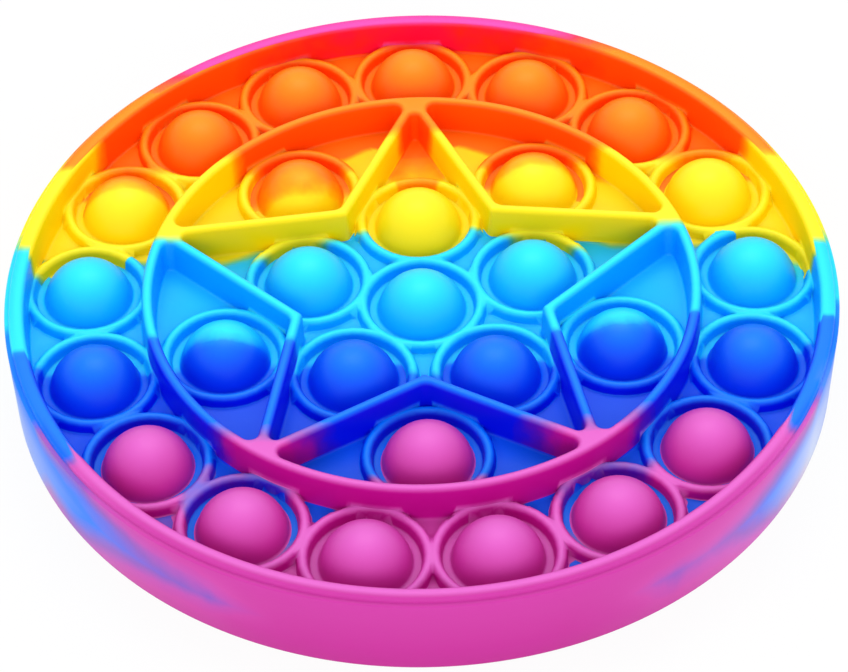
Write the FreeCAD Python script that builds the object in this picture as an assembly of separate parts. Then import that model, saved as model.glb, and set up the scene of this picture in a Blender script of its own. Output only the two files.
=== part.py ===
import FreeCAD, Part
import math
import os

# A round bubble popping toy, moulded in one piece of silicone. A thin web at mid height is stiffened by
# a rim, a ring wall and a star wall, and carries 28 hollow domes, each inside a raised bead.
# The origin is the centre of the resting face, +Z is up, and the star's first tip points along +Y.
# All sizes are in millimetres.

# Rim: the outer wall, with a rounded lip and a small ledge outside it
toy_height = 15.0
lip_width = 2.4
lip_round_inner = 0.8
lip_round_outer = 0.5
ledge_width = 0.7
ledge_drop = 0.85
ledge_round = 0.3
rim_root_swell = 0.3
rim_foot_inset = 0.4
foot_round = 0.6

# Web: the thin floor that joins everything
web_floor = 9.2
web_thickness = 1.8

# Ring wall and star wall, which stand above and below the web
ring_radius = 41.6
wall_crest_thickness = 1.7
wall_root_thickness = 2.1
star_crest_drop = 0.12
notch_radius = 19.9
notch_round = 1.8
star_points = 5

# Bubbles: a dome shell in a thin moat, with a bead round it on both faces of the web
dome_top = 15.0
dome_radius = 6.75
dome_shell = 1.0
dome_foot_round = 0.35
cup_mouth_round = 0.4
moat_drop = 0.3
bead_radius = 9.0
bead_width = 1.7
bead_height = 1.65
bead_gap = 0.15
bead_to_ring = 1.15
bead_into_wall = 0.175
outer_bead_gap = 0.8

# Share of half a wall's thickness that its rounded crest takes, so that a thin flat stays between
crest_share = 0.94

web_bottom = web_floor - web_thickness
web_middle = web_floor - web_thickness / 2
moat_floor = web_floor - moat_drop
arm_circle = 2 * bead_radius + bead_gap
segment_circle = ring_radius - bead_radius - bead_to_ring

# The outer bubbles fill a lane whose walls their beads just enter, and the rim closes it
outer_circle = ring_radius + wall_crest_thickness / 2 + bead_radius - bead_into_wall
outer_bubbles = int(math.pi / math.asin((bead_radius + outer_bead_gap / 2) / outer_circle))
rim_inner_radius = outer_circle + bead_radius - bead_into_wall
rim_root_radius = rim_inner_radius - rim_root_swell
lip_outer_radius = rim_inner_radius + lip_width
toy_radius = lip_outer_radius + ledge_width
rim_foot_radius = toy_radius - rim_foot_inset


def upright(u, z):
    """A point of a profile in the XZ plane."""
    return FreeCAD.Vector(u, 0, z)


def rounded_edges(corners):
    """The lines and tangent arcs of a closed profile through (u, z, radius) corners in the XZ plane."""
    starts, ends, arcs = [], [], []
    for i, (u, z, radius) in enumerate(corners):
        before, after = corners[i - 1], corners[(i + 1) % len(corners)]
        corner = upright(u, z)
        back = (upright(*before[:2]) - corner).normalize()
        ahead = (upright(*after[:2]) - corner).normalize()
        half = back.getAngle(ahead) / 2
        if radius <= 0:
            starts.append(corner)
            ends.append(corner)
            arcs.append(None)
            continue
        reach = radius / math.tan(half)
        centre = corner + (back + ahead).normalize() * (radius / math.sin(half))
        starts.append(corner + back * reach)
        ends.append(corner + ahead * reach)
        arcs.append(centre + (corner - centre).normalize() * radius)
    edges = []
    for i, middle in enumerate(arcs):
        if middle is not None:
            edges.append(Part.Arc(starts[i], middle, ends[i]).toShape())
        a, b = ends[i], starts[(i + 1) % len(arcs)]
        if a.distanceToPoint(b) > 1e-6:
            edges.append(Part.LineSegment(a, b).toShape())
    return edges


def revolved(edges):
    """A solid turned round the Z axis from a closed profile in the XZ plane."""
    face = Part.Face(Part.Wire(edges))
    return face.revolve(FreeCAD.Vector(0, 0, 0), FreeCAD.Vector(0, 0, 1), 360)


def polar(radius, degrees):
    """X and Y of a point at a radius and an angle from +X."""
    angle = math.radians(degrees)
    return radius * math.cos(angle), radius * math.sin(angle)


def bubble_centres():
    """X and Y of every bubble: one in the middle, one in each arm, one in each segment, and the outer ring."""
    centres = [(0.0, 0.0)]
    for k in range(star_points):
        centres.append(polar(arm_circle, 90 + 360 * k / star_points))
        centres.append(polar(segment_circle, 90 + 360 * (k + 0.5) / star_points))
    for k in range(outer_bubbles):
        centres.append(polar(outer_circle, 90 + 360 * k / outer_bubbles))
    return centres


def rim():
    """The outer wall: a rounded lip with a ledge outside it, thickest at the web, on a flat foot."""
    return revolved(rounded_edges([
        (rim_foot_radius, 0, foot_round),
        (toy_radius, toy_height - ledge_drop, ledge_round),
        (lip_outer_radius, toy_height - ledge_drop, 0),
        (lip_outer_radius, toy_height, lip_round_outer),
        (rim_inner_radius, toy_height, lip_round_inner),
        (rim_root_radius, web_middle, 0),
        (rim_inner_radius, 0, foot_round),
    ]))


def web():
    """The thin floor, from the middle into the rim, with a hole where each bubble goes in."""
    disc = Part.makeCylinder((rim_root_radius + rim_foot_radius) / 2, web_thickness,
                             FreeCAD.Vector(0, 0, web_bottom))
    holes = [
        Part.makeCylinder(bead_radius, 3 * web_thickness, FreeCAD.Vector(x, y, web_bottom - web_thickness))
        for x, y in bubble_centres()
    ]
    return disc.cut(holes)


def wall_section(middle, crest_drop):
    """The section of an inner wall: thickest at the web, with rounded crests above and below."""
    crest = wall_crest_thickness / 2
    root = wall_root_thickness / 2
    crest_round = crest_share * crest
    low, high = crest_drop, toy_height - crest_drop
    return rounded_edges([
        (middle + crest, low, crest_round),
        (middle + root, web_middle, 0),
        (middle + crest, high, crest_round),
        (middle - crest, high, crest_round),
        (middle - root, web_middle, 0),
        (middle - crest, low, crest_round),
    ])


def ring_wall():
    """The round wall between the star and the outer bubbles."""
    return revolved(wall_section(ring_radius, 0))


def star_notch():
    """Two sides of the star and the rounded notch between them, with the notch lying along +X."""
    half = math.pi / star_points
    tip = FreeCAD.Vector(ring_radius * math.cos(half), ring_radius * math.sin(half), 0)
    side = tip - FreeCAD.Vector(notch_radius, 0, 0)
    opening = math.atan2(side.y, side.x)
    turn = 180 - 2 * math.degrees(opening)
    pivot = FreeCAD.Vector(notch_radius + notch_round / math.sin(opening), 0, 0)
    length = side.Length - notch_round / math.tan(opening)

    section = Part.Face(Part.Wire(wall_section(pivot.x - notch_round, star_crest_drop)))
    up = FreeCAD.Vector(0, 0, 1)
    start = section.rotated(pivot, up, -turn / 2)
    end = section.rotated(pivot, up, turn / 2)
    bend = start.revolve(pivot, up, turn)
    out = side.normalize() * length
    return bend.multiFuse([start.extrude(out), end.extrude(FreeCAD.Vector(out.x, -out.y, 0))]).removeSplitter()


def star_walls():
    """The wall along the star's outline, as one piece for each notch, with its ends inside the ring wall."""
    one = star_notch()
    return [
        one.rotated(FreeCAD.Vector(0, 0, 0), FreeCAD.Vector(0, 0, 1), 90 + 360 * (k + 0.5) / star_points)
        for k in range(star_points)
    ]


def bubble():
    """One bubble about the Z axis: dome shell, moat and a bead on both faces of the web."""
    # The dome is a ball's cap of the wanted foot radius and height, and its hollow has the same centre.
    rise = dome_top - moat_floor
    ball = (dome_radius ** 2 + rise ** 2) / (2 * rise)
    centre = dome_top - ball
    hollow = ball - dome_shell
    # A small arc eases the dome into the moat: it touches the ball and the moat's floor.
    foot_z = moat_floor + dome_foot_round
    foot_u = math.sqrt((ball + dome_foot_round) ** 2 - (foot_z - centre) ** 2)
    share = ball / (ball + dome_foot_round)
    touch_u = foot_u * share
    touch_z = centre + (foot_z - centre) * share
    lean = math.atan2(foot_z - centre, foot_u)
    middle = (math.pi + lean + 1.5 * math.pi) / 2

    half = bead_width / 2
    bead_round = crest_share * half
    bead = rounded_edges([
        (bead_radius - half, moat_floor, 0),
        (bead_radius - half, web_floor + bead_height, bead_round),
        (bead_radius + half, web_floor + bead_height, bead_round),
        (bead_radius + half, web_bottom - bead_height, bead_round),
        (bead_radius - half, web_bottom - bead_height, bead_round),
        (bead_radius - half, web_bottom, 0),
    ])[:-1]
    mouth = hollow + cup_mouth_round
    top_angle = math.atan2(touch_z - centre, touch_u)
    top_middle = (top_angle + math.pi / 2) / 2
    edges = bead + [
        Part.LineSegment(upright(bead_radius - half, web_bottom), upright(mouth, web_bottom)).toShape(),
        Part.Arc(
            upright(mouth, web_bottom),
            upright(mouth - cup_mouth_round * math.sin(math.pi / 4),
                    web_bottom + cup_mouth_round * (1 - math.cos(math.pi / 4))),
            upright(hollow, web_bottom + cup_mouth_round)).toShape(),
        Part.LineSegment(upright(hollow, web_bottom + cup_mouth_round), upright(hollow, centre)).toShape(),
        Part.Arc(
            upright(hollow, centre),
            upright(hollow * math.cos(math.pi / 4), centre + hollow * math.sin(math.pi / 4)),
            upright(0, centre + hollow)).toShape(),
        Part.LineSegment(upright(0, centre + hollow), upright(0, dome_top)).toShape(),
        Part.Arc(
            upright(0, dome_top),
            upright(ball * math.cos(top_middle), centre + ball * math.sin(top_middle)),
            upright(touch_u, touch_z)).toShape(),
        Part.Arc(
            upright(touch_u, touch_z),
            upright(foot_u + dome_foot_round * math.cos(middle), foot_z + dome_foot_round * math.sin(middle)),
            upright(foot_u, moat_floor)).toShape(),
        Part.LineSegment(upright(foot_u, moat_floor), upright(bead_radius - half, moat_floor)).toShape(),
    ]
    return revolved(Part.__sortEdges__(edges))


def bubble_tray():
    """The whole toy, one solid."""
    one = bubble()
    bubbles = [one.translated(FreeCAD.Vector(x, y, 0)) for x, y in bubble_centres()]
    return web().multiFuse([rim(), ring_wall(), *star_walls(), *bubbles]).removeSplitter()


os.makedirs("parts", exist_ok=True)
toy = bubble_tray()
toy.exportStep("parts/bubble_tray.step")
print(f"bubble_tray: {len(toy.Solids)} solid, {toy.Volume / 1000:.2f} cm3, {len(toy.Faces)} faces, "
      f"valid {toy.isValid()}, {2 * toy_radius:.1f} mm across, {outer_bubbles} outer bubbles")
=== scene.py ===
# %% [markdown]
# # A rainbow bubble popping toy, from its sizes to its silicone
#
# The real toy is a single moulding of soft silicone: a thin web, stiffened by a rim, a ring and a star, with
# 28 hollow bubbles that snap through when they are pressed. It could be dressed as a pile of tubes and balls
# pushed into each other, but their hard crossings would look assembled. Here the whole toy is one closed
# skin, because everything on a moulded face can be written as one height above the web at each place.
#
# The sizes are in millimetres, as on a drawing, and are turned into metres when a mesh is made.

# %% The tools, and the toy's own frame
import math

import bpy
import numpy as np
from mathutils import Matrix, Vector
from mathutils.geometry import delaunay_2d_cdt


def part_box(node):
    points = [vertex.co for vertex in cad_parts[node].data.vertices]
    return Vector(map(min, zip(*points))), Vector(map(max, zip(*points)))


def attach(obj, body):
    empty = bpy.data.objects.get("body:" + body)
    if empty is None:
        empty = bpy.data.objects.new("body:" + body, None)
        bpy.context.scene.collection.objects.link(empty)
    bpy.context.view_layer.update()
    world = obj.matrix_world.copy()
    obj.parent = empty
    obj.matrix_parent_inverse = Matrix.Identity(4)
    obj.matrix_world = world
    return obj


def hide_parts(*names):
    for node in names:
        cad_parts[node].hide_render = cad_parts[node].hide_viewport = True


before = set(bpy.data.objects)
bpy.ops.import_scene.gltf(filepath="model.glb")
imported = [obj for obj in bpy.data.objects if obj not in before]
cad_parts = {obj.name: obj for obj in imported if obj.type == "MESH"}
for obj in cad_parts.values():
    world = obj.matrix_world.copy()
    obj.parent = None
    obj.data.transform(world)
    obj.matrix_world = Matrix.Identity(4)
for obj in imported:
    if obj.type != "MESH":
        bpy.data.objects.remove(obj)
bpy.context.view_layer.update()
solid_low, solid_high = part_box("bubble_tray")
mm = 0.001
toy_radius = (solid_high[0] - solid_low[0]) / 2 / mm
toy_height = (solid_high[2] - solid_low[2]) / mm
print(f"the frame holds {sorted(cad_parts)}")
print(f"the toy is {2 * toy_radius:.1f} mm across and {toy_height:.1f} mm tall")

# %% [markdown]
# ## The camera
#
# The camera comes first, because everything after it is judged through it. It could be moved by eye, but a
# view is fully set by a place to look at, two angles and a distance, plus a small roll for a camera that was
# held by hand, and those can be fitted one by one. The lens follows from how many pixels one radian takes at
# the middle of the picture, so the picture's width is all it needs.

# %% A camera from two angles, a roll and a distance
picture_width = 848
focal_pixels = 3259.1
camera_azimuth = math.radians(-0.87)
camera_elevation = math.radians(45.75)
camera_roll = math.radians(-1.15)
camera_distance = 497.1
camera_aim = Vector((0.19, -3.84, 7.0))

back = Vector((
    math.sin(camera_azimuth) * math.cos(camera_elevation),
    -math.cos(camera_azimuth) * math.cos(camera_elevation),
    math.sin(camera_elevation),
))
right = Vector((0, 0, 1)).cross(back).normalized()
up = back.cross(right)
turned_right = math.cos(camera_roll) * right + math.sin(camera_roll) * up
turned_up = math.cos(camera_roll) * up - math.sin(camera_roll) * right
axes = Matrix((turned_right, turned_up, back)).transposed().to_4x4()

camera = bpy.data.objects.new("camera", bpy.data.cameras.new("camera"))
camera.data.sensor_fit = "HORIZONTAL"
camera.data.lens = focal_pixels * camera.data.sensor_width / picture_width
camera.matrix_world = Matrix.Translation((camera_aim + back * camera_distance) * mm) @ axes
bpy.context.scene.collection.objects.link(camera)
bpy.context.scene.camera = camera
print(f"a lens of {camera.data.lens:.1f} mm, {camera_distance:.0f} mm away")

# %% [markdown]
# ## The plan of the toy
#
# On the real toy a star stands inside a ring, a bubble sits in the middle, in each arm and in each segment
# between two arms, and seventeen more fill the space between ring and rim. Each wall could be drawn along
# its middle line. The outline of each pocket between the walls is drawn instead, because then the corner on
# each side of a wall has a radius of its own, as it has in a mould.

# %% Sizes of the plan
star_points = 5
outer_bubbles = 17
ring_radius = 41.6
notch_radius = 19.9
wall_half = 0.85
rim_inner_radius = 60.1
ledge_width = 0.7
lip_radius = toy_radius - ledge_width
rim_seam_radius = (rim_inner_radius + lip_radius) / 2
seam_count = 390

dome_radius = 6.75
bead_radius = 9.0
bead_gap = 0.15
bead_to_ring = 1.15
arm_circle = 2 * bead_radius + bead_gap
segment_circle = ring_radius - bead_radius - bead_to_ring
outer_circle = (rim_inner_radius + ring_radius + wall_half) / 2

notch_round_inside = 0.9
notch_round_outside = 1.75
tip_round = 0.9
segment_corner_round = 1.3
print(f"circles of bubbles at {arm_circle:.2f}, {segment_circle:.2f} and {outer_circle:.2f} mm")


# %% Bubble centres
def polar(radius, degrees):
    """x and y at a radius and an angle: radius times the cosine and the sine."""
    angle = np.radians(degrees)
    return np.stack([radius * np.cos(angle), radius * np.sin(angle)], axis=-1)


fifths = 90 + 360 / star_points * np.arange(star_points)
bubble_centres = np.concatenate([
    np.zeros((1, 2)),
    polar(arm_circle, fifths),
    polar(segment_circle, fifths + 180 / star_points),
    polar(outer_circle, 90 + 360 / outer_bubbles * np.arange(outer_bubbles)),
])
print(f"{len(bubble_centres)} bubbles")

# %% Runs of an outline
most_degrees_a_step = 14


def arc_run(centre, radius, start, end, spacing, towards):
    """Points of an arc, centre + radius * (cos a, sin a) for even steps of a, and their normals."""
    fewest = math.ceil(abs(end - start) / math.radians(most_degrees_a_step))
    count = max(fewest, math.ceil(abs(end - start) * radius / spacing)) + 1
    angle = np.linspace(start, end, count)
    outward = np.stack([np.cos(angle), np.sin(angle)], axis=1)
    return np.asarray(centre) + radius * outward, (-outward if towards else outward)


def line_run(start, end, normal, spacing):
    """Points between two ends, start + s * (end - start) for even steps of s, with one normal."""
    count = max(1, math.ceil(np.linalg.norm(np.subtract(end, start)) / spacing))
    share = np.arange(1, count)[:, None] / count
    points = start + share * np.subtract(end, start)
    return points, np.broadcast_to(normal, points.shape)


def joined(*runs):
    """One outline from several runs, as one array of points and one of normals."""
    return np.concatenate([run[0] for run in runs]), np.concatenate([run[1] for run in runs])


def turned(run, angle):
    """A run turned round the toy's axis, by the two by two matrix of that angle."""
    matrix = np.array([[math.cos(angle), math.sin(angle)], [-math.sin(angle), math.cos(angle)]])
    return run[0] @ matrix, run[1] @ matrix


# %% [markdown]
# ## Outlines of the pockets
#
# With one notch of the star along +X, the upper side of the star is the line p . n = d, where n points into
# the segment. A round corner between two faces has its centre one radius from each, so the centres of all
# the rounds follow from that one equation and, beside the ring, from a circle. A drawing program's fillet
# tool does the same sums.

# %% One side of the star
def star_side():
    """A star side's angle to its notch's axis, its normal, and its distance from the toy's axis."""
    tip = polar(ring_radius, 180 / star_points)
    opening = math.atan2(tip[1], tip[0] - notch_radius)
    normal = np.array([math.sin(opening), -math.cos(opening)])
    return opening, normal, notch_radius * math.sin(opening)


print(f"a star side stands at {math.degrees(star_side()[0]):.1f} degrees to the axis of its notch")


# %% The star's inside
def star_inside(spacing):
    """The star's inner face: round each notch, out to the tip, round it and back, five times."""
    opening, normal, distance = star_side()
    face = distance - wall_half
    half = math.pi / star_points
    notch = np.array([(face + notch_round_inside) / math.sin(opening), 0])
    tip_distance = (face - tip_round) / math.sin(opening - half)
    tip = tip_distance * np.array([math.cos(half), math.sin(half)])
    lean = math.pi / 2 + opening
    mirror = np.array([[math.cos(2 * half), math.sin(2 * half)], [math.sin(2 * half), -math.cos(2 * half)]])
    side = line_run(notch - normal * notch_round_inside, tip + normal * tip_round, -normal, spacing)
    far_side = (side[0][::-1] @ mirror, side[1][::-1] @ mirror)
    fifth = joined(
        arc_run(notch, notch_round_inside, 2 * math.pi - lean, lean, spacing, False),
        side,
        arc_run(tip, tip_round, lean - math.pi, 2 * half + math.pi - lean, spacing, True),
        far_side,
    )
    return joined(*(turned(fifth, math.radians(fifths[0] + 180 / star_points) + 2 * half * k)
                    for k in range(star_points)))


# %% The segments, and full circles
def segments(spacing):
    """The five segments between the star and the ring, each round its notch and its two sharp corners."""
    opening, normal, distance = star_side()
    along = np.array([math.cos(opening), math.sin(opening)])
    face = distance + wall_half
    ring_face = ring_radius - wall_half
    notch = np.array([(face + notch_round_outside) / math.sin(opening), 0])
    out = face + segment_corner_round
    corner = normal * out + along * math.sqrt((ring_face - segment_corner_round) ** 2 - out ** 2)
    flip = np.array([1, -1])
    lean = math.pi / 2 + opening
    turn = math.atan2(corner[1], corner[0])
    side_start = notch - normal * notch_round_outside
    side_end = corner - normal * segment_corner_round
    side = line_run(side_start, side_end, normal, spacing)
    one = joined(
        arc_run(notch, notch_round_outside, 2 * math.pi - lean, lean, spacing, True),
        side,
        arc_run(corner, segment_corner_round, lean, turn, spacing, True),
        tuple(part[1:-1] for part in arc_run((0, 0), ring_face, turn, -turn, spacing, True)),
        arc_run(corner * flip, segment_corner_round, -turn, -lean, spacing, True),
        (side[0][::-1] * flip, side[1][::-1] * flip),
    )
    return [turned(one, math.radians(angle + 180 / star_points)) for angle in fifths]


def circle(radius, count, towards):
    """A full circle of evenly spaced points with normals to or from the axis."""
    outward = polar(1, 360 / count * np.arange(count))
    return radius * outward, (-outward if towards else outward)


print(f"at 1 mm steps: {len(star_inside(1)[0])} points in the star, {len(segments(1)[0][0])} in a segment")

# %% [markdown]
# ## Heights
#
# A wall is the same everywhere: a rounded crest, a flank that leans a little so that the toy leaves its
# mould, and a small fillet where it meets what it stands on. Bevels could round a plain wall, but they fail
# where several walls meet. Here each round is part of a height. A bubble is a profile turned round its own
# axis. Two beads that meet are joined by a smooth maximum, which rounds the valley between them.

# %% Height of a wall
crest_round = 0.8
foot_fillet = 0.4
star_crest_drop = 0.12
wall_lean = 0.03
rim_lean = 0.045


def wall_height(gap, lean, crest):
    """Height of a wall by the gap past its face: crest less a quarter round, then less gap / lean."""
    over = np.clip(gap + crest_round, 0, crest_round)
    return crest - (crest_round - np.sqrt(crest_round ** 2 - over ** 2)) - np.maximum(gap, 0) / lean


def fillet_height(gap):
    """Height of a hollow quarter round: r - sqrt(r * r - (r - gap)^2) until the gap is r, and then 0."""
    over = np.clip(foot_fillet - gap, 0, foot_fillet)
    return foot_fillet - np.sqrt(foot_fillet ** 2 - over ** 2)


print(f"a wall of 5.8 mm is {wall_height(0, wall_lean, 5.8):.1f} mm high where its crest's round ends")

# %% Profile of a bead
bead_width = 1.7
bead_height = 1.65
bead_lean = 0.08
bead_foot = 0.25


def quarter(centre, radius, start, end, count):
    """Profile points of a circle arc, centre + radius * (cos a, sin a), from a start to an end in degrees."""
    return np.asarray(centre) + polar(radius, np.linspace(start, end, count))


def bead_profile(moat, steps):
    """Radius and height across a bead: a foot fillet, a leaning side, a round crest, and down again."""
    half = bead_width / 2
    inner = bead_radius - half - bead_lean
    outer = bead_radius + half + bead_lean
    return np.concatenate([
        quarter((inner - bead_foot, moat + bead_foot), bead_foot, -90, -10, steps),
        quarter((bead_radius, bead_height - half), half, 180, 0, 2 * steps + 1),
        quarter((outer + bead_foot, bead_foot), bead_foot, 190, 270, steps),
    ])


print(f"a bead's profile has {len(bead_profile(0, 4))} points")

# %% Height of the web with its bubbles
bead_blend = 0.4
bead_meeting_reach = 0.7


def bubble_height(plan, profile):
    """The nearest bubble's profile, joined to the next one's bead: the higher of a and b, plus
    blend / 4 * (1 - |a - b| / blend) squared where they are within a blend of each other."""
    distance = np.linalg.norm(plan[:, None, :] - bubble_centres[None], axis=2)
    nearest = np.argsort(distance, axis=1)[:, :2]
    own, other = np.interp(np.take_along_axis(distance, nearest, axis=1), profile[:, 0], profile[:, 1]).T
    overlap = np.maximum(0, 1 - np.abs(own - other) / bead_blend)
    both = np.maximum(own, other) + bead_blend / 4 * overlap ** 2
    past_bead = distance.min(axis=1) > bead_radius - bead_meeting_reach
    return np.where(past_bead & (other > 0), both, own), nearest[:, 0]


# %% [markdown]
# ## A skin for one face
#
# A plain square grid would cut the steep walls into steps. The points follow the shape instead: rows along
# each outline, one for each bend in the wall's profile, and rings round each bubble. Where two patterns meet,
# the nearer one keeps its points. A triangulation then joins them all, with the rows as edges that it has to
# keep, and the height is worked out last, for every point at once.

# %% Distance to the nearest wall
def gap_to_walls(plan):
    """Distance from each point to the nearest wall's face, with the star folded onto one of its ten sides."""
    radius = np.linalg.norm(plan, axis=1)
    gap = np.minimum(np.abs(radius - ring_radius) - wall_half, rim_inner_radius - radius)
    fifth = 2 * math.pi / star_points
    turn = np.arctan2(plan[:, 1], plan[:, 0]) - math.radians(fifths[0]) - fifth / 2
    folded = np.abs((turn + fifth / 2) % fifth - fifth / 2)
    spot = np.stack([radius * np.cos(folded), radius * np.sin(folded)], axis=1)
    start = np.array([notch_radius, 0])
    side = polar(ring_radius, 180 / star_points) - start
    share = np.clip((spot - start) @ side / (side @ side), 0, 1)
    return np.minimum(gap, np.linalg.norm(spot - start - share[:, None] * side, axis=1) - wall_half)


print(f"the middle is {gap_to_walls(np.zeros((1, 2)))[0]:.2f} mm from the nearest wall")

# %% Rows along a wall
last_crest_degrees = 4
flank_shares = np.array([0.25, 0.5, 0.75])
last_row_reach = 1.6


def wall_gaps(lean, crest, steps):
    """Gaps past a wall's face at which it gets a row: over the crest, down the flank and outwards."""
    turn = np.radians(np.linspace(90, last_crest_degrees, steps + 1))
    over = crest_round * (np.cos(turn) - 1)
    foot = lean * (crest - crest_round)
    out = foot_fillet * (1 - np.cos(np.radians(np.linspace(0, 90, steps))))
    rows = np.concatenate([foot * flank_shares, foot + out, [foot + last_row_reach * foot_fillet]])
    return over, rows, foot


def outlines(spacing):
    """Every outline of a face with its wall's lean: star, segments, and the two sides of the lane."""
    lane_inside = circle(ring_radius + wall_half, round(2 * math.pi * ring_radius / spacing), False)
    lane_outside = circle(rim_inner_radius, round(2 * math.pi * rim_inner_radius / spacing), True)
    inner = [(outline, wall_lean) for outline in (star_inside(spacing), *segments(spacing))]
    return inner + [(lane_inside, wall_lean), (lane_outside, rim_lean)]


print(f"{len(outlines(1))} outlines, the longest of {max(len(run[0]) for run, _ in outlines(1))} points")


# %% The points of a face as they are gathered
class Points:
    """The points of one face as they are gathered: plan places, gaps to a wall, leans, and edges to keep."""

    def __init__(self):
        self.plan, self.gap, self.lean, self.foot, self.edges, self.count = [], [], [], [], [], 0

    def add_rows(self, rows, gap, lean, foot, kept):
        """Adds rows of points, with the edge between two neighbours of a row where both are kept."""
        number = np.full(kept.shape, -1)
        number[kept] = self.count + np.arange(kept.sum())
        following = np.roll(number, -1, axis=1)
        both = (number >= 0) & (following >= 0)
        self.edges.append(np.stack([number[both], following[both]], axis=1))
        self.plan.append(rows[kept])
        for store, value in ((self.gap, gap), (self.lean, lean), (self.foot, foot)):
            store.append(np.broadcast_to(value, kept.shape)[kept])
        self.count += int(kept.sum())


# %% All the points of a face
crest_steps_longer = 3
clear_of_rows = 0.08
clear_of_next_bubble = 0.12


def face_points(profile, crest, spacing, spokes, steps):
    """Rows along each outline, closer together at a wall's foot, and rings over each bubble."""
    points = Points()
    for part, step in enumerate((crest_steps_longer * spacing, spacing)):
        for (places, normals), lean in outlines(step):
            *parts, foot = wall_gaps(lean, crest, steps)
            gaps = parts[part]
            rows = places[None] + gaps[:, None, None] * normals[None]
            points.add_rows(rows, gaps[:, None], lean, foot, np.ones(rows.shape[:2], bool))
    seam = circle(rim_seam_radius, seam_count, False)[0][None]
    points.add_rows(seam, -crest_round, rim_lean, 0, np.ones((1, seam_count), bool))
    spoke = polar(1, 360 / spokes * np.arange(spokes))
    clear = max(wall_gaps(rim_lean, crest, steps)[1]) + clear_of_rows
    for index, centre in enumerate(bubble_centres):
        rings = centre + profile[:, 0][:, None, None] * spoke[None]
        flat = rings.reshape(-1, 2)
        away = np.linalg.norm(flat[:, None] - bubble_centres[None], axis=2)
        own = away[:, index].copy()
        away[:, index] = np.inf
        kept = (own < away.min(axis=1) - clear_of_next_bubble) & (gap_to_walls(flat) > clear)
        points.add_rows(rings, np.inf, wall_lean, 0, kept.reshape(rings.shape[:2]))
    points.add_rows(bubble_centres[None], np.inf, wall_lean, 0, np.ones((1, len(bubble_centres)), bool))
    points.edges.pop()
    return points


# %% [markdown]
# ## From points to a skin
#
# Delaunay's triangulation joins each point to its nearest neighbours without thin triangles, and a
# constrained one also keeps the edges it is given. Blender has one in mathutils. It works in the plane, which
# is all that is needed, because a moulded face has one height at each place, or it would not leave its mould.

# %% One face of the toy, as vertices and triangles
same_place = 1e-7
drop_from = 1.2
drop_over = 1.5


class Skin:
    """One face of the toy: its points in millimetres, its triangles, and what the colours need to know."""

    def __init__(self, profile, floor, crest_z, spacing, spokes, steps):
        crest = abs(crest_z - floor)
        upward = 1 if crest_z > floor else -1
        points = face_points(profile, crest, spacing, spokes, steps)
        plan = np.concatenate(points.plan)
        gap, lean, foot = (np.concatenate(store) for store in (points.gap, points.lean, points.foot))
        edges = np.concatenate(points.edges).tolist()
        made, _, triangles, sources, _, _ = delaunay_2d_cdt(plan.tolist(), edges, [], 0, same_place, True)
        plan = np.array(made)
        first = np.array([source[0] for source in sources])
        gap, lean, foot = gap[first], lean[first], foot[first]
        web, bubble = bubble_height(plan, profile)
        radius = np.linalg.norm(plan, axis=1)
        drop = star_crest_drop * np.clip((ring_radius - drop_from - radius) / drop_over, 0, 1)
        wall = wall_height(gap, lean, crest - drop)
        fillet = fillet_height(np.maximum(gap - foot, 0)) * (1 - np.clip(web / bead_height, 0, 1))
        height = np.maximum(wall, web + fillet)
        height = np.where(np.isinf(gap), web, np.minimum(height, crest - drop))
        self.vertices = np.column_stack([plan, floor + upward * height])
        self.triangles = np.array(triangles)[:, ::upward]
        self.gap, self.bubble = gap, bubble
        print(f"{len(points.plan)} patterns, {len(plan)} vertices, {len(self.triangles)} triangles")


# %% [markdown]
# ## Profiles of a bubble, above and below
#
# From above a bubble is a ball's cap in a shallow moat. From below the same bubble is a hollow with a shell
# of one millimetre over it, so that a fingertip can press it back. Both end in the same bead. A cut sphere
# could stand for the dome, but it would meet the moat in a sharp corner, and a profile can have a small arc
# there. The ball's radius is half of (foot squared plus rise squared) over the rise.

# %% From the ball to the dome's profile
web_floor = 9.2
web_bottom = 7.4
dome_shell = 1.0
dome_foot_round = 0.35
moat_drop = 0.3

rise = toy_height - web_floor + moat_drop
ball_radius = (dome_radius ** 2 + rise ** 2) / (2 * rise)
ball_centre = toy_height - ball_radius


def dome_profile():
    """Radius and height over a dome: down the ball to a small arc, tangent to it, into the moat."""
    centre = ball_centre - web_floor
    foot_height = dome_foot_round - moat_drop
    foot = math.sqrt((ball_radius + dome_foot_round) ** 2 - (foot_height - centre) ** 2)
    touch = math.degrees(math.atan2(foot_height - centre, foot))
    return np.concatenate([
        quarter((0, centre), ball_radius, 90, touch, 14)[1:],
        quarter((foot, foot_height), dome_foot_round, 180 + touch, 270, 3)[1:],
        bead_profile(-moat_drop, 4),
    ])


print(f"a dome is a cap of a ball of {ball_radius:.2f} mm, and its centre is {ball_centre:.2f} mm up")

# %% The cup's profile, from below
cup_mouth_round = 0.4
cup_draft = 0.02


def cup_profile():
    """Radius and height from below: the hollow inside the shell, its mouth's small round, and the bead."""
    hollow = ball_radius - dome_shell
    centre = web_bottom - ball_centre
    mouth = hollow + cup_draft + cup_mouth_round
    return np.concatenate([
        quarter((0, centre), hollow, -90, 0, 11)[1:],
        quarter((mouth, -cup_mouth_round), cup_mouth_round, 180, 90, 3),
        bead_profile(0, 3),
    ])


# %% The two faces
top = Skin(dome_profile(), web_floor, toy_height, spacing=0.55, spokes=36, steps=5)
bottom = Skin(cup_profile(), web_bottom, 0, spacing=1.0, spokes=24, steps=4)

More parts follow.
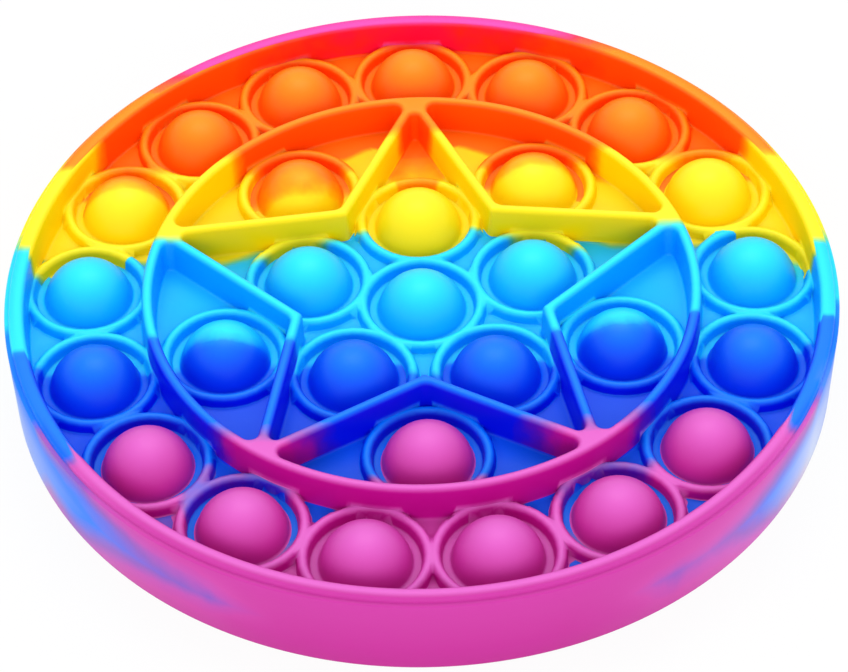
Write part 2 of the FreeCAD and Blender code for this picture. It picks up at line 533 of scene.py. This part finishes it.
# %% [markdown]
# ## The outer wall
#
# The two faces stop at a seam on the rim, where their surfaces are level. The wall outside it is the one part
# that a height can't describe, so it is a profile turned round the axis: over the lip, out along the ledge,
# down the wall with its slight draft, and round the foot. A Screw modifier would do the same, but its seam
# points have to be the faces' own, and whole arrays give them exactly.

# %% The wall between the two seams
lip_round = 0.5
ledge_corner = 0.1
ledge_drop = 0.85
ledge_round = 0.3
foot_inset = 0.4
foot_round = 0.6
ledge_height = toy_height - ledge_drop
foot_radius = toy_radius - foot_inset


def outer_wall():
    """Radius and height down the outside of the rim, from the upper seam to the lower one."""
    return np.concatenate([
        [(rim_seam_radius, toy_height)],
        quarter((lip_radius - lip_round, toy_height - lip_round), lip_round, 90, 0, 6),
        quarter((lip_radius + ledge_corner, ledge_height + ledge_corner), ledge_corner, 180, 270, 3),
        quarter((toy_radius - ledge_round, ledge_height - ledge_round), ledge_round, 90, 0, 5),
        np.linspace((toy_radius, ledge_height - ledge_round), (foot_radius, foot_round), 5)[1:-1],
        quarter((foot_radius - foot_round, foot_round), foot_round, 0, -90, 5),
        [(rim_seam_radius, 0)],
    ])


def revolved(profile, count):
    """A profile turned round the axis: radius times (cos a, sin a) for even steps of a, as rows of quads."""
    spoke = polar(1, 360 / count * np.arange(count))
    plan = profile[:, 0][:, None, None] * spoke[None]
    height = np.broadcast_to(profile[:, 1][:, None, None], (len(profile), count, 1))
    vertices = np.concatenate([plan, height], axis=2).reshape(-1, 3)
    row, column = np.meshgrid(np.arange(len(profile) - 1), np.arange(count), indexing="ij")
    here, beside = row * count + column, row * count + (column + 1) % count
    return vertices, np.stack([here, here + count, beside + count, beside], axis=-1).reshape(-1, 4)


wall_vertices, wall_quads = revolved(outer_wall(), seam_count)
print(f"the wall outside the seams has {len(wall_quads)} quads")

# %% [markdown]
# ## One closed mesh
#
# The two faces and the wall share their seam rings, so the doubled points are found by rounding to a
# thousandth of a millimetre and looking for equal rows. After that each edge has exactly two faces, as on a
# solid, and nothing has to be filled or joined by hand. A closed skin is also what the toy is: one pour of
# silicone.

# %% The seams welded
def welded(parts):
    """Vertices and faces of several parts as one: places equal to a thousandth of a millimetre are one."""
    places = np.concatenate([vertices for vertices, _ in parts])
    starts = np.cumsum([0] + [len(vertices) for vertices, _ in parts[:-1]])
    _, first, number = np.unique(np.round(places, 3), axis=0, return_index=True, return_inverse=True)
    number = number.reshape(-1)
    faces = [row for (_, own), start in zip(parts, starts) for row in number[own + start].tolist()]
    return places[first], faces, first


parts = [(top.vertices, top.triangles), (bottom.vertices, bottom.triangles), (wall_vertices, wall_quads)]
vertices, faces, kept = welded(parts)
corners = sum(len(face) for face in faces)
print(f"{len(vertices)} vertices and {corners - 2 * len(faces)} triangles")

# %% The mesh made
mesh = bpy.data.meshes.new("popping_toy")
mesh.from_pydata((vertices * mm).tolist(), [], faces)
mesh.polygons.foreach_set("use_smooth", [True] * len(mesh.polygons))
mesh.update()
toy = bpy.data.objects.new("popping_toy", mesh)
bpy.context.scene.collection.objects.link(toy)
print(f"{corners - 2 * len(mesh.edges)} open edges, because each edge is a side of two faces")

# %% The mesh stands for the solid
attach(toy, "root")
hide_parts("bubble_tray")

# %% [markdown]
# ## Six dyes in one mould
#
# Six dyed silicones are laid in the mould side by side, from the front to the back: pink, blue, cyan, yellow,
# orange, pink. They creep into each other before they set, and each does so in its own way on the rim, in the
# ring and star walls, in the beads, on the web and in the domes, because the press fills those one after
# another. One row of stripes over the whole toy would look printed. So each of these parts has its own table:
# one row for each end between two bands, and in it the end's Y, in millimetres, at five places along X. A
# point's own Y is then stretched, piece by piece, until its part's ends fall on the common ones. That number,
# the band place, is kept on the mesh as an attribute, and one colour ramp turns it into a colour.

# %% Where the bands meet on the rim
band_ends = np.array([-36, -12, 10, 28, 48])
pink_to_blue, yellow_to_orange, orange_to_pink = band_ends[[0, 3, 4]]
end_marks = [-60, -30, 0, 30, 60]

rim_ends = [[-33, -39, -40, -38, -31], [-12.5, -12, -12, -11, -10], [10, 9, 8, 7, 6],
            [27.6, 27.3, 27, 26.4, 25.8], [45, 49, 53, 55, 60]]
rim_flank_ends = [[-31, -38, -40, -38, -29], [-14, -14, -13, -12, -11], [8, 8, 6, 4, 3],
                  [33, 32, 30, 30, 29], [62, 60, 54, 60, 62]]
side_ends = [[-90] * 5, [-9, -9, -9, -8, -8], [10, 9, 8, 7, 6],
             [27.6, 27.3, 27, 26.4, 25.8], [45, 49, 53, 55, 60]]
print(f"{len(band_ends)} band ends, at {band_ends.tolist()} mm")

# %% Where the bands meet inside the rim, where the last one never ends
never = [60] * 5
ring_ends = [[-30, -29.5, -29, -28.3, -27.7], [-10.8, -10, -9.3, -8.6, -7.9], [11.2] * 5, [29] * 5, never]
star_ends = [[-29.7] * 5, [-12, -11.8, -11.5, -11.2, -11], [11] * 5, [33, 33.5, 34, 34.5, 35], never]
bead_ends = [[-32.5, -34.5, -36.6, -34.5, -32.5], [-12, -14, -16, -14, -12], [8, 8.5, 18.5, 8.5, 8],
             [31, 30, 29, 30, 31], never]
web_ends = [[-37, -38.5, -40, -38.5, -37], [-12, -13, -15, -13, -12], [12.5, 11, 22, 12.3, 11],
            [28, 29, 29, 29, 28], never]
moat_ends = [[-45, -55, -30, -55, -45], [-12] * 5, [5.5, 20, 10, 22, 6], [28, 22, 28, 22, 28], never]
dome_ends = [[-24] * 5, [-10.6, -10.3, -10.2, -10, -10], [12] * 5, [22.6, 23.3, 24.8, 26.2, 26.6], never]


# %% Band places
def band_place(plan, ends):
    """y stretched, piece by piece, so that a part's own band ends fall on the common ones."""
    x, y = plan.T
    own = np.array([np.interp(x, end_marks, row) for row in ends])
    share = np.clip((y - own[:-1]) / (own[1:] - own[:-1]), 0, 1)
    stretched = (share * np.diff(band_ends)[:, None]).sum(axis=0)
    return band_ends[0] + stretched + np.minimum(y - own[0], 0) + np.maximum(y - own[-1], 0)


# Half the width, in millimetres, over which two dyes mix where they meet, and the run in to a wider mix
soft = 0.8
run_in = 6
past_all = 100


def softened(place, end, width):
    """The same places with one band end spread out: over the width they change by no more than soft."""
    far = width + run_in
    return np.interp(place, [-past_all, end - far, end - width, end + width, end + far, past_all],
                     [-past_all, end - far, end - soft, end + soft, end + far, past_all])


print("on the web 20 mm right of the middle, at each 20 mm of y:",
      band_place(np.array([[20, y] for y in (-40, -20, 0, 20, 40)]), web_ends).round(1).tolist())

# %% [markdown]
# ## Dabs, painted light and shade, and pale streaks
#
# Here and there a dye crept further than its neighbours. A finer table could hold that, but a dab says it
# shorter: its X, Y and reach in millimetres, and the band place that it pulls the points round it to. A
# second number, the lift, is painted light and shade: it says how far a point goes from the painted shade
# tone of its band to the painted lit one, and faces that look up get more of it than grooves. On the outside
# of the rim the blue tapers off into the pink in a long streak, and a lift above 1 turns a place paler,
# towards white.

# %% Dabs
bead_dabs = [(-28, -39.5, 13, -35.8), (25, -40.5, 11.5, -36), (43, 8.5, 5, -4), (47.1, 11.6, 2.2, -4),
             (58, 7.5, 4.5, 20), (-43, 8.6, 4, 2), (0, 28, 7, 28.2)]
moat_dabs = [(-58.7, 6.5, 3.5, 2)]
web_dabs = [(-19, -40, 6, -30), (19.5, -40, 7, -30), (20.5, -51.5, 5, -34), (37.7, -41.4, 6, -30),
            (-37.7, -41.4, 5, -35.8), (-9, 27, 6, 22), (9, 27, 6, 22), (-8, 33, 5.5, 22), (8, 33, 5.5, 22)]


def dabbed(place, plan, dabs):
    """Places pulled towards each dab's own: the share is n * n * (3 - 2 * n), where n falls from 1 at
    half the reach to 0 at its edge."""
    for x, y, reach, target in dabs:
        near = np.clip(2 - 2 * np.hypot(plan[:, 0] - x, plan[:, 1] - y) / reach, 0, 1)
        place = place + near ** 2 * (3 - 2 * near) * (target - place)
    return place


print(f"{len(bead_dabs)} dabs on beads, {len(moat_dabs)} in a moat and {len(web_dabs)} on the web")

# %% Dye, and painted light and shade, on the two faces
wall_reach = 0.25
wall_crest_edge = -0.4
ring_edge = 1.2
dome_edge = dome_radius + 0.3
moat_edge = 8
bead_edge = 10.1
rim_crest_middle = 61.5
crest_slant = 4
crest_slant_front = -20
dome_stretch = 0.5
# Painted light and shade: walls, domes and beads can reach the full painted lit tone, the moat less, and the
# low web least, as painted shade in the hollows.
raised_painted_light, moat_painted_light, web_painted_light, dome_least_painted_light = 1, 0.75, 0.45, 0.14


def face_dye_and_painted_light(skin):
    """Each point's band place, by the part that it is on, and its highest and lowest lift of painted light.
    """
    plan = skin.vertices[:, :2]
    radius = np.linalg.norm(plan, axis=1)
    centre = bubble_centres[skin.bubble]
    away = np.linalg.norm(plan - centre, axis=1)
    wall = skin.gap < wall_reach
    rim = wall & (radius > rim_inner_radius - 1)
    ring = wall & (np.abs(radius - ring_radius) < ring_edge)
    dome = away < dome_edge
    moat = away < moat_edge
    bead = (away > moat_edge) & (away < bead_edge)
    slant = np.where(plan[:, 1] < crest_slant_front, crest_slant * (rim_crest_middle - radius), 0)
    rim_crest = plan - np.stack([0 * slant, slant], axis=1)
    place = np.select(
        [rim & (skin.gap > wall_crest_edge), rim, ring, wall, dome, bead, moat],
        [
            softened(band_place(plan, rim_flank_ends), orange_to_pink, 6),
            softened(band_place(rim_crest, rim_ends), orange_to_pink, 2.5),
            softened(band_place(plan, ring_ends), pink_to_blue, 2.5),
            softened(band_place(plan, star_ends), pink_to_blue, 2),
            band_place(centre + dome_stretch * (plan - centre), dome_ends),
            dabbed(band_place(plan, bead_ends), plan, bead_dabs),
            dabbed(band_place(plan, moat_ends), plan, moat_dabs),
        ],
        softened(dabbed(band_place(plan, web_ends), plan, web_dabs), yellow_to_orange, 3))
    # Painted shade: the moat and the web get less painted light than the raised parts.
    most = np.select([wall | dome | bead, moat], [raised_painted_light, moat_painted_light], web_painted_light)
    return place, most, np.where(dome, dome_least_painted_light, 0)


# %% Streaks of blue on the outside
x, y, z = wall_vertices.T
streak_marks = [-61, -54.6, -46.8, -37, -28, -22, -10]
streak_halves = [-7, 0.3, 1.8, 6, 6.5, 14, 400]
narrower_at_right = 1.6
streak_slope = 0.28
streak_half = np.interp(y, streak_marks, streak_halves) - narrower_at_right * (x > 0)
streak_middle = np.where(x < 0, 8, 6.5)
streak_place = pink_to_blue + streak_slope * (streak_half - np.abs(z - streak_middle))
print(f"the streaks reach forward to y {y[streak_place > pink_to_blue].min():.1f} mm")

# %% Band places on the outside, where two waves move the ends
waves = 2.2 * np.sin(0.35 * z + 0.11 * x) + 1.1 * np.sin(0.8 * z - 0.23 * x)
side_place = band_place(np.stack([x, y + waves], axis=1), side_ends)
for end in band_ends[1:]:
    side_place = softened(side_place, end, 2)
side_place = np.minimum(side_place, streak_place)
ledge_place = softened(band_place(wall_vertices[:, :2], rim_ends), orange_to_pink, 2.5)
outside_place = np.where(z > ledge_height, ledge_place, side_place)
print(f"the waves move an end by up to {np.abs(waves).max():.1f} mm")

# %% Painted light on the outside, lighter higher up, and paling, strongest low down and beside the cyan
# Paler towards white: the share is largest low down and beside the cyan, and a lift above 1 mixes in the pale
# tone.
paling_marks = [-60, -50, -37, -26, -13, -4]
paling_right = np.interp(y, paling_marks, [0, 0.15, 0.4, 0.8, 0.45, 0])
paling_left = np.interp(y, paling_marks, [0, 0.1, 0.28, 0.42, 0.5, 0])
paling_share = np.where(x > 0, paling_right, paling_left) * np.interp(z, [3, 8, 12, 15], [1.2, 1, 0.6, 0.4])
palest_level = 1.8
blue_painted_light = 0.65
# Painted light: the pink gets a higher lift, and so a lighter tone, higher up the wall; the blue gets a fixed
# one.
pink_painted_light = 0.08 + 0.2 * z / toy_height
outside_painted_light_and_paling = np.interp(side_place, [-37.5, -35], [0, blue_painted_light]) * (1 - pink_painted_light) + pink_painted_light
outside_painted_light_and_paling = outside_painted_light_and_paling + paling_share * (palest_level - outside_painted_light_and_paling)
print(f"the outside has a lift of {outside_painted_light_and_paling.min():.2f} to {outside_painted_light_and_paling.max():.2f}")

# %% Both kept on the mesh
dye_and_light_parts = [face_dye_and_painted_light(top), face_dye_and_painted_light(bottom), (outside_place, outside_painted_light_and_paling, outside_painted_light_and_paling)]
place, most, least = (np.concatenate(column)[kept] for column in zip(*dye_and_light_parts))
outside = np.repeat([0, 0, 1], [len(own) for own, _, _ in dye_and_light_parts])[kept]
normals = np.empty(3 * len(vertices))
mesh.vertex_normals.foreach_get("vector", normals)
# Painted light and shade: a point's lift grows with the cube of how far its face looks up, so tops take the
# painted lit tone and flanks the painted shade tone.
facing = np.abs(normals[2::3]) ** 3
painted_light_and_paling = least + (most - least) * facing
dye = np.stack([place, painted_light_and_paling, outside], axis=1)
mesh.attributes.new("dye", "FLOAT_VECTOR", "POINT").data.foreach_set("vector", dye.ravel())
print(f"dye: places {place.min():.1f} to {place.max():.1f} mm, lift {painted_light_and_paling.min():.2f} to {painted_light_and_paling.max():.2f}")

# %% [markdown]
# ## Shader sums
#
# Node trees get long when every Math node is made by hand. The class below wraps a node's output, so that a
# sum on it, such as (1 - mask) * depth, adds its own Math nodes. Any other node comes from its one method,
# node.


# %% A class for shader sums
class Wire:
    """A node's output. Sums on it are written as Python, so that 1 - mask adds its Math node."""

    def __init__(self, tree, output=None):
        self.tree, self.output = tree, output

    def node(self, kind, settings, inputs, output=0):
        """A new node in the same tree: its settings come first, then each input's value or link."""
        made = self.tree.nodes.new("ShaderNode" + kind)
        for name, value in settings.items():
            if name == "stops":
                ramp = made.color_ramp
                while len(ramp.elements) < len(value):
                    ramp.elements.new(1)
                for element, (position, colour) in zip(ramp.elements, value):
                    element.position = position
                    element.color = colour
            else:
                setattr(made, name, value)
        for name, value in inputs.items():
            if isinstance(value, Wire):
                self.tree.links.new(value.output, made.inputs[name])
            else:
                made.inputs[name].default_value = value
        return Wire(self.tree, made.outputs[output])

    def sum(self, operation, first, second):
        """A Math node on two numbers or outputs."""
        return self.node("Math", {"operation": operation}, {0: first, 1: second})

    def __add__(self, other):
        return self.sum("ADD", self, other)

    def __sub__(self, other):
        return self.sum("SUBTRACT", self, other)

    def __rsub__(self, other):
        return self.sum("SUBTRACT", other, self)

    def __mul__(self, other):
        return self.sum("MULTIPLY", self, other)

    __radd__ = __add__
    __rmul__ = __mul__


def linear(red, green, blue):
    """A colour picked on a screen, 0 to 255, as light: ((c / 255 + 0.055) / 1.055) ^ 2.4, or c / 255 / 12.92
    where that is dark."""
    channels = (red, green, blue)
    return (*(((c / 255 + 0.055) / 1.055) ** 2.4 if c > 10 else c / 255 / 12.92 for c in channels), 1)


print("half way up a screen's scale is a light of", round(linear(128, 128, 128)[0], 3))

# %% [markdown]
# ## Dyed silicone, with painted light and shade
#
# Each band has a painted lit tone, for crests and tops, and a painted shade tone, for flanks and grooves.
# Where two bands meet there is a third tone, because dyes mix like paint and not like light: yellow and cyan
# give a green. A colour ramp is linear between its stops, so each end needs three of them. Two noises in
# object coordinates keep the ends from looking ruled: a small one inside, and a larger, swirling one outside,
# where the dyes ran along the mould. The surface is satin: moulded silicone has a fine tooth from the blasted
# steel mould, which is a bump of a few hundredths of a millimetre, and its gloss varies a little with
# handling.

# %% Painted lit and painted shade tones, as picked on a screen
painted_lit_tones = [(226, 101, 202), (0, 125, 255), (38, 234, 255),
                (255, 244, 40), (250, 148, 20), (243, 79, 184)]
painted_lit_meetings = [(158, 106, 200), (0, 145, 255), (150, 235, 150), (255, 190, 0), (250, 60, 60)]
painted_shade_tones = [(190, 8, 142), (0, 14, 230), (0, 166, 255), (255, 218, 0), (255, 82, 0), (250, 8, 70)]
painted_shade_meetings = [(60, 10, 185), (0, 70, 240), (90, 180, 60), (255, 160, 0), (250, 40, 10)]
pale_tone = (240, 244, 250)
ramp_reach = 70


def tone_stops(tones, meetings):
    """Stops of a colour ramp: one tone up to each end, what the two mix to, and the next tone."""
    stops = [(0, linear(*tones[0]))]
    for end, before, middle, after in zip(band_ends, tones, meetings, tones[1:]):
        for position, tone in ((end - soft, before), (end, middle), (end + soft, after)):
            stops.append(((position + ramp_reach) / (2 * ramp_reach), linear(*tone)))
    return stops


print(f"{len(tone_stops(painted_lit_tones, painted_lit_meetings))} stops from -{ramp_reach} to {ramp_reach} mm")

# %% The band place, with its wandering and its swirls
silicone = bpy.data.materials.new("silicone")
silicone.use_nodes = True
tree = silicone.node_tree
principled = tree.nodes["Principled BSDF"]
start = Wire(tree)
dye_vector = start.node("Attribute", {"attribute_name": "dye"}, {}, "Vector")
split = dye_vector.node("SeparateXYZ", {}, {"Vector": dye_vector}).output.node
place_wire, painted_light_and_paling_wire, outside_wire = (Wire(tree, split.outputs[axis]) for axis in "XYZ")
spot = start.node("TexCoord", {}, {}, "Object")
wander = start.node("TexNoise", {}, {"Vector": spot, "Scale": 160, "Detail": 3, "Roughness": 0.5}, "Fac")
swirl = start.node("TexNoise", {}, {"Vector": spot, "Scale": 45, "Detail": 3, "Distortion": 1.2}, "Fac")
wander_inside, wander_outside, swirl_outside = 1.8, 0.5, 1.2
wander_width = wander_inside - (wander_inside - wander_outside) * outside_wire
moved = place_wire + (wander - 0.5) * wander_width + (swirl - 0.5) * outside_wire * swirl_outside
along = (moved + ramp_reach) * (1 / (2 * ramp_reach))
print(f"the band place takes {len(tree.nodes)} nodes")

# %% The colour
painted_lit_colour = start.node("ValToRGB", {"stops": tone_stops(painted_lit_tones, painted_lit_meetings)}, {"Fac": along}, "Color")
painted_shade_colour = start.node("ValToRGB", {"stops": tone_stops(painted_shade_tones, painted_shade_meetings)}, {"Fac": along}, "Color")
# Painted light and shade: the lift mixes the painted shade tone into the painted lit one, and above 1 on
# towards the pale tone.
dyed_and_painted_light = start.node("Mix", {"data_type": "RGBA"}, {0: painted_light_and_paling_wire, 6: painted_shade_colour, 7: painted_lit_colour}, 2)
colour = start.node("Mix", {"data_type": "RGBA"}, {0: painted_light_and_paling_wire - 1, 6: dyed_and_painted_light, 7: linear(*pale_tone)}, 2)
tree.links.new(colour.output, principled.inputs["Base Color"])

# %% Satin
smoothest, handling = 0.36, 0.1
handled = start.node("TexNoise", {}, {"Vector": spot, "Scale": 70, "Detail": 2}, "Fac")
tree.links.new((smoothest + handled * handling).output, principled.inputs["Roughness"])
tooth = start.node("TexNoise", {}, {"Vector": spot, "Scale": 1800, "Detail": 2}, "Fac")
bump = start.node("Bump", {}, {"Height": tooth, "Strength": 0.12, "Distance": 0.0001}, "Normal")
tree.links.new(bump.output, principled.inputs["Normal"])
principled.inputs["IOR"].default_value = 1.41
principled.inputs["Specular IOR Level"].default_value = 0.3
principled.inputs["Subsurface Weight"].default_value = 0.1
principled.inputs["Subsurface Radius"].default_value = (1, 0.8, 0.8)
principled.inputs["Subsurface Scale"].default_value = 0.001
mesh.materials.append(silicone)
print(f"silicone: {len(tree.nodes)} nodes")

# %% [markdown]
# ## A white table
#
# The toy lies on white paper that runs on to the horizon. Paper that is lit like the toy would render light
# grey, and more light would bleach the toy. So camera and mirror rays see mostly a plain white glow, and a
# little of the lit paper is left in it to keep the shadow. All other rays see paper, which sends soft light
# up under the rim.

# %% The floor's mesh
scene = bpy.context.scene
scene.view_settings.view_transform = "Standard"
half_side = 4
floor_mesh = bpy.data.meshes.new("floor")
floor_plan = [(-half_side, -half_side, 0), (half_side, -half_side, 0), (half_side, half_side, 0),
              (-half_side, half_side, 0)]
floor_mesh.from_pydata(floor_plan, [], [(0, 1, 2, 3)])
floor = bpy.data.objects.new("floor", floor_mesh)
scene.collection.objects.link(floor)
print(f"a floor of {2 * half_side} by {2 * half_side} m")

# %% Its paper
paper = bpy.data.materials.new("pale_floor")
paper.use_nodes = True
tree = paper.node_tree
principled = tree.nodes["Principled BSDF"]
principled.inputs["Base Color"].default_value = (0.9, 0.9, 0.9, 1)
principled.inputs["Roughness"].default_value = 0.9
start = Wire(tree)
glow_share = 0.93
seen = start.node("LightPath", {}, {}, "Is Camera Ray") + start.node("LightPath", {}, {}, "Is Glossy Ray")
glow = start.node("Emission", {}, {"Color": (1, 1, 1, 1), "Strength": 1})
plain = Wire(tree, principled.outputs["BSDF"])
final = start.node("MixShader", {}, {0: seen * glow_share, 1: plain, 2: glow})
tree.links.new(final.output, tree.nodes["Material Output"].inputs["Surface"])
floor_mesh.materials.append(paper)
print(f"a seen ray meets {glow_share:.0%} glow and {1 - glow_share:.0%} lit paper")

# %% [markdown]
# ## Soft studio light
#
# White walls all round give an even light without a direction, a softbox hangs behind and above the toy, and
# a weaker fill stands low in front, where the camera is. Mirror rays could see the same white everywhere, but
# then a grey veil would lie over the domes. They see bright walls near the horizon and a dimmer ceiling, so
# that the tops of the domes keep their colour and only the softbox makes a highlight on them.

# %% World
world = bpy.data.worlds.new("studio")
scene.world = world
world.use_nodes = True
tree = world.node_tree
background = tree.nodes["Background"]
start = Wire(tree)
wall_light = 0.85
seen = start.node("LightPath", {}, {}, "Is Camera Ray")
mirrored = start.node("LightPath", {}, {}, "Is Glossy Ray")
direction = start.node("TexCoord", {}, {}, "Generated")
upward = start.node("SeparateXYZ", {}, {"Vector": direction}, "Z")
ceiling = {"Value": upward, "From Min": 0.3, "From Max": 0.75, "To Min": 1, "To Max": 0.25}
gloss = start.node("MapRange", {"interpolation_type": "SMOOTHSTEP"}, ceiling, "Result")
background.inputs["Color"].default_value = (1, 1, 1, 1)
strength = seen + mirrored * gloss + (1 - seen - mirrored) * wall_light
tree.links.new(strength.output, background.inputs["Strength"])
print(f"studio: {len(tree.nodes)} nodes")


# %% Lamps
def softbox(name, place, size, watts):
    """A rectangular lamp, sides in metres, that looks at the toy from its place."""
    lamp = bpy.data.lights.new(name, "AREA")
    lamp.shape = "RECTANGLE"
    lamp.size, lamp.size_y = size
    lamp.energy = watts
    holder = bpy.data.objects.new(name, lamp)
    turn = (-Vector(place)).to_track_quat("-Z", "Y").to_matrix().to_4x4()
    holder.matrix_world = Matrix.Translation(place) @ turn
    scene.collection.objects.link(holder)
    return holder


softbox("overhead", place=(0, 0.33, 0.7), size=(0.5, 0.4), watts=1.6)
softbox("front_fill", place=(0, -0.9, 0.5), size=(0.8, 0.4), watts=3.2).visible_glossy = False
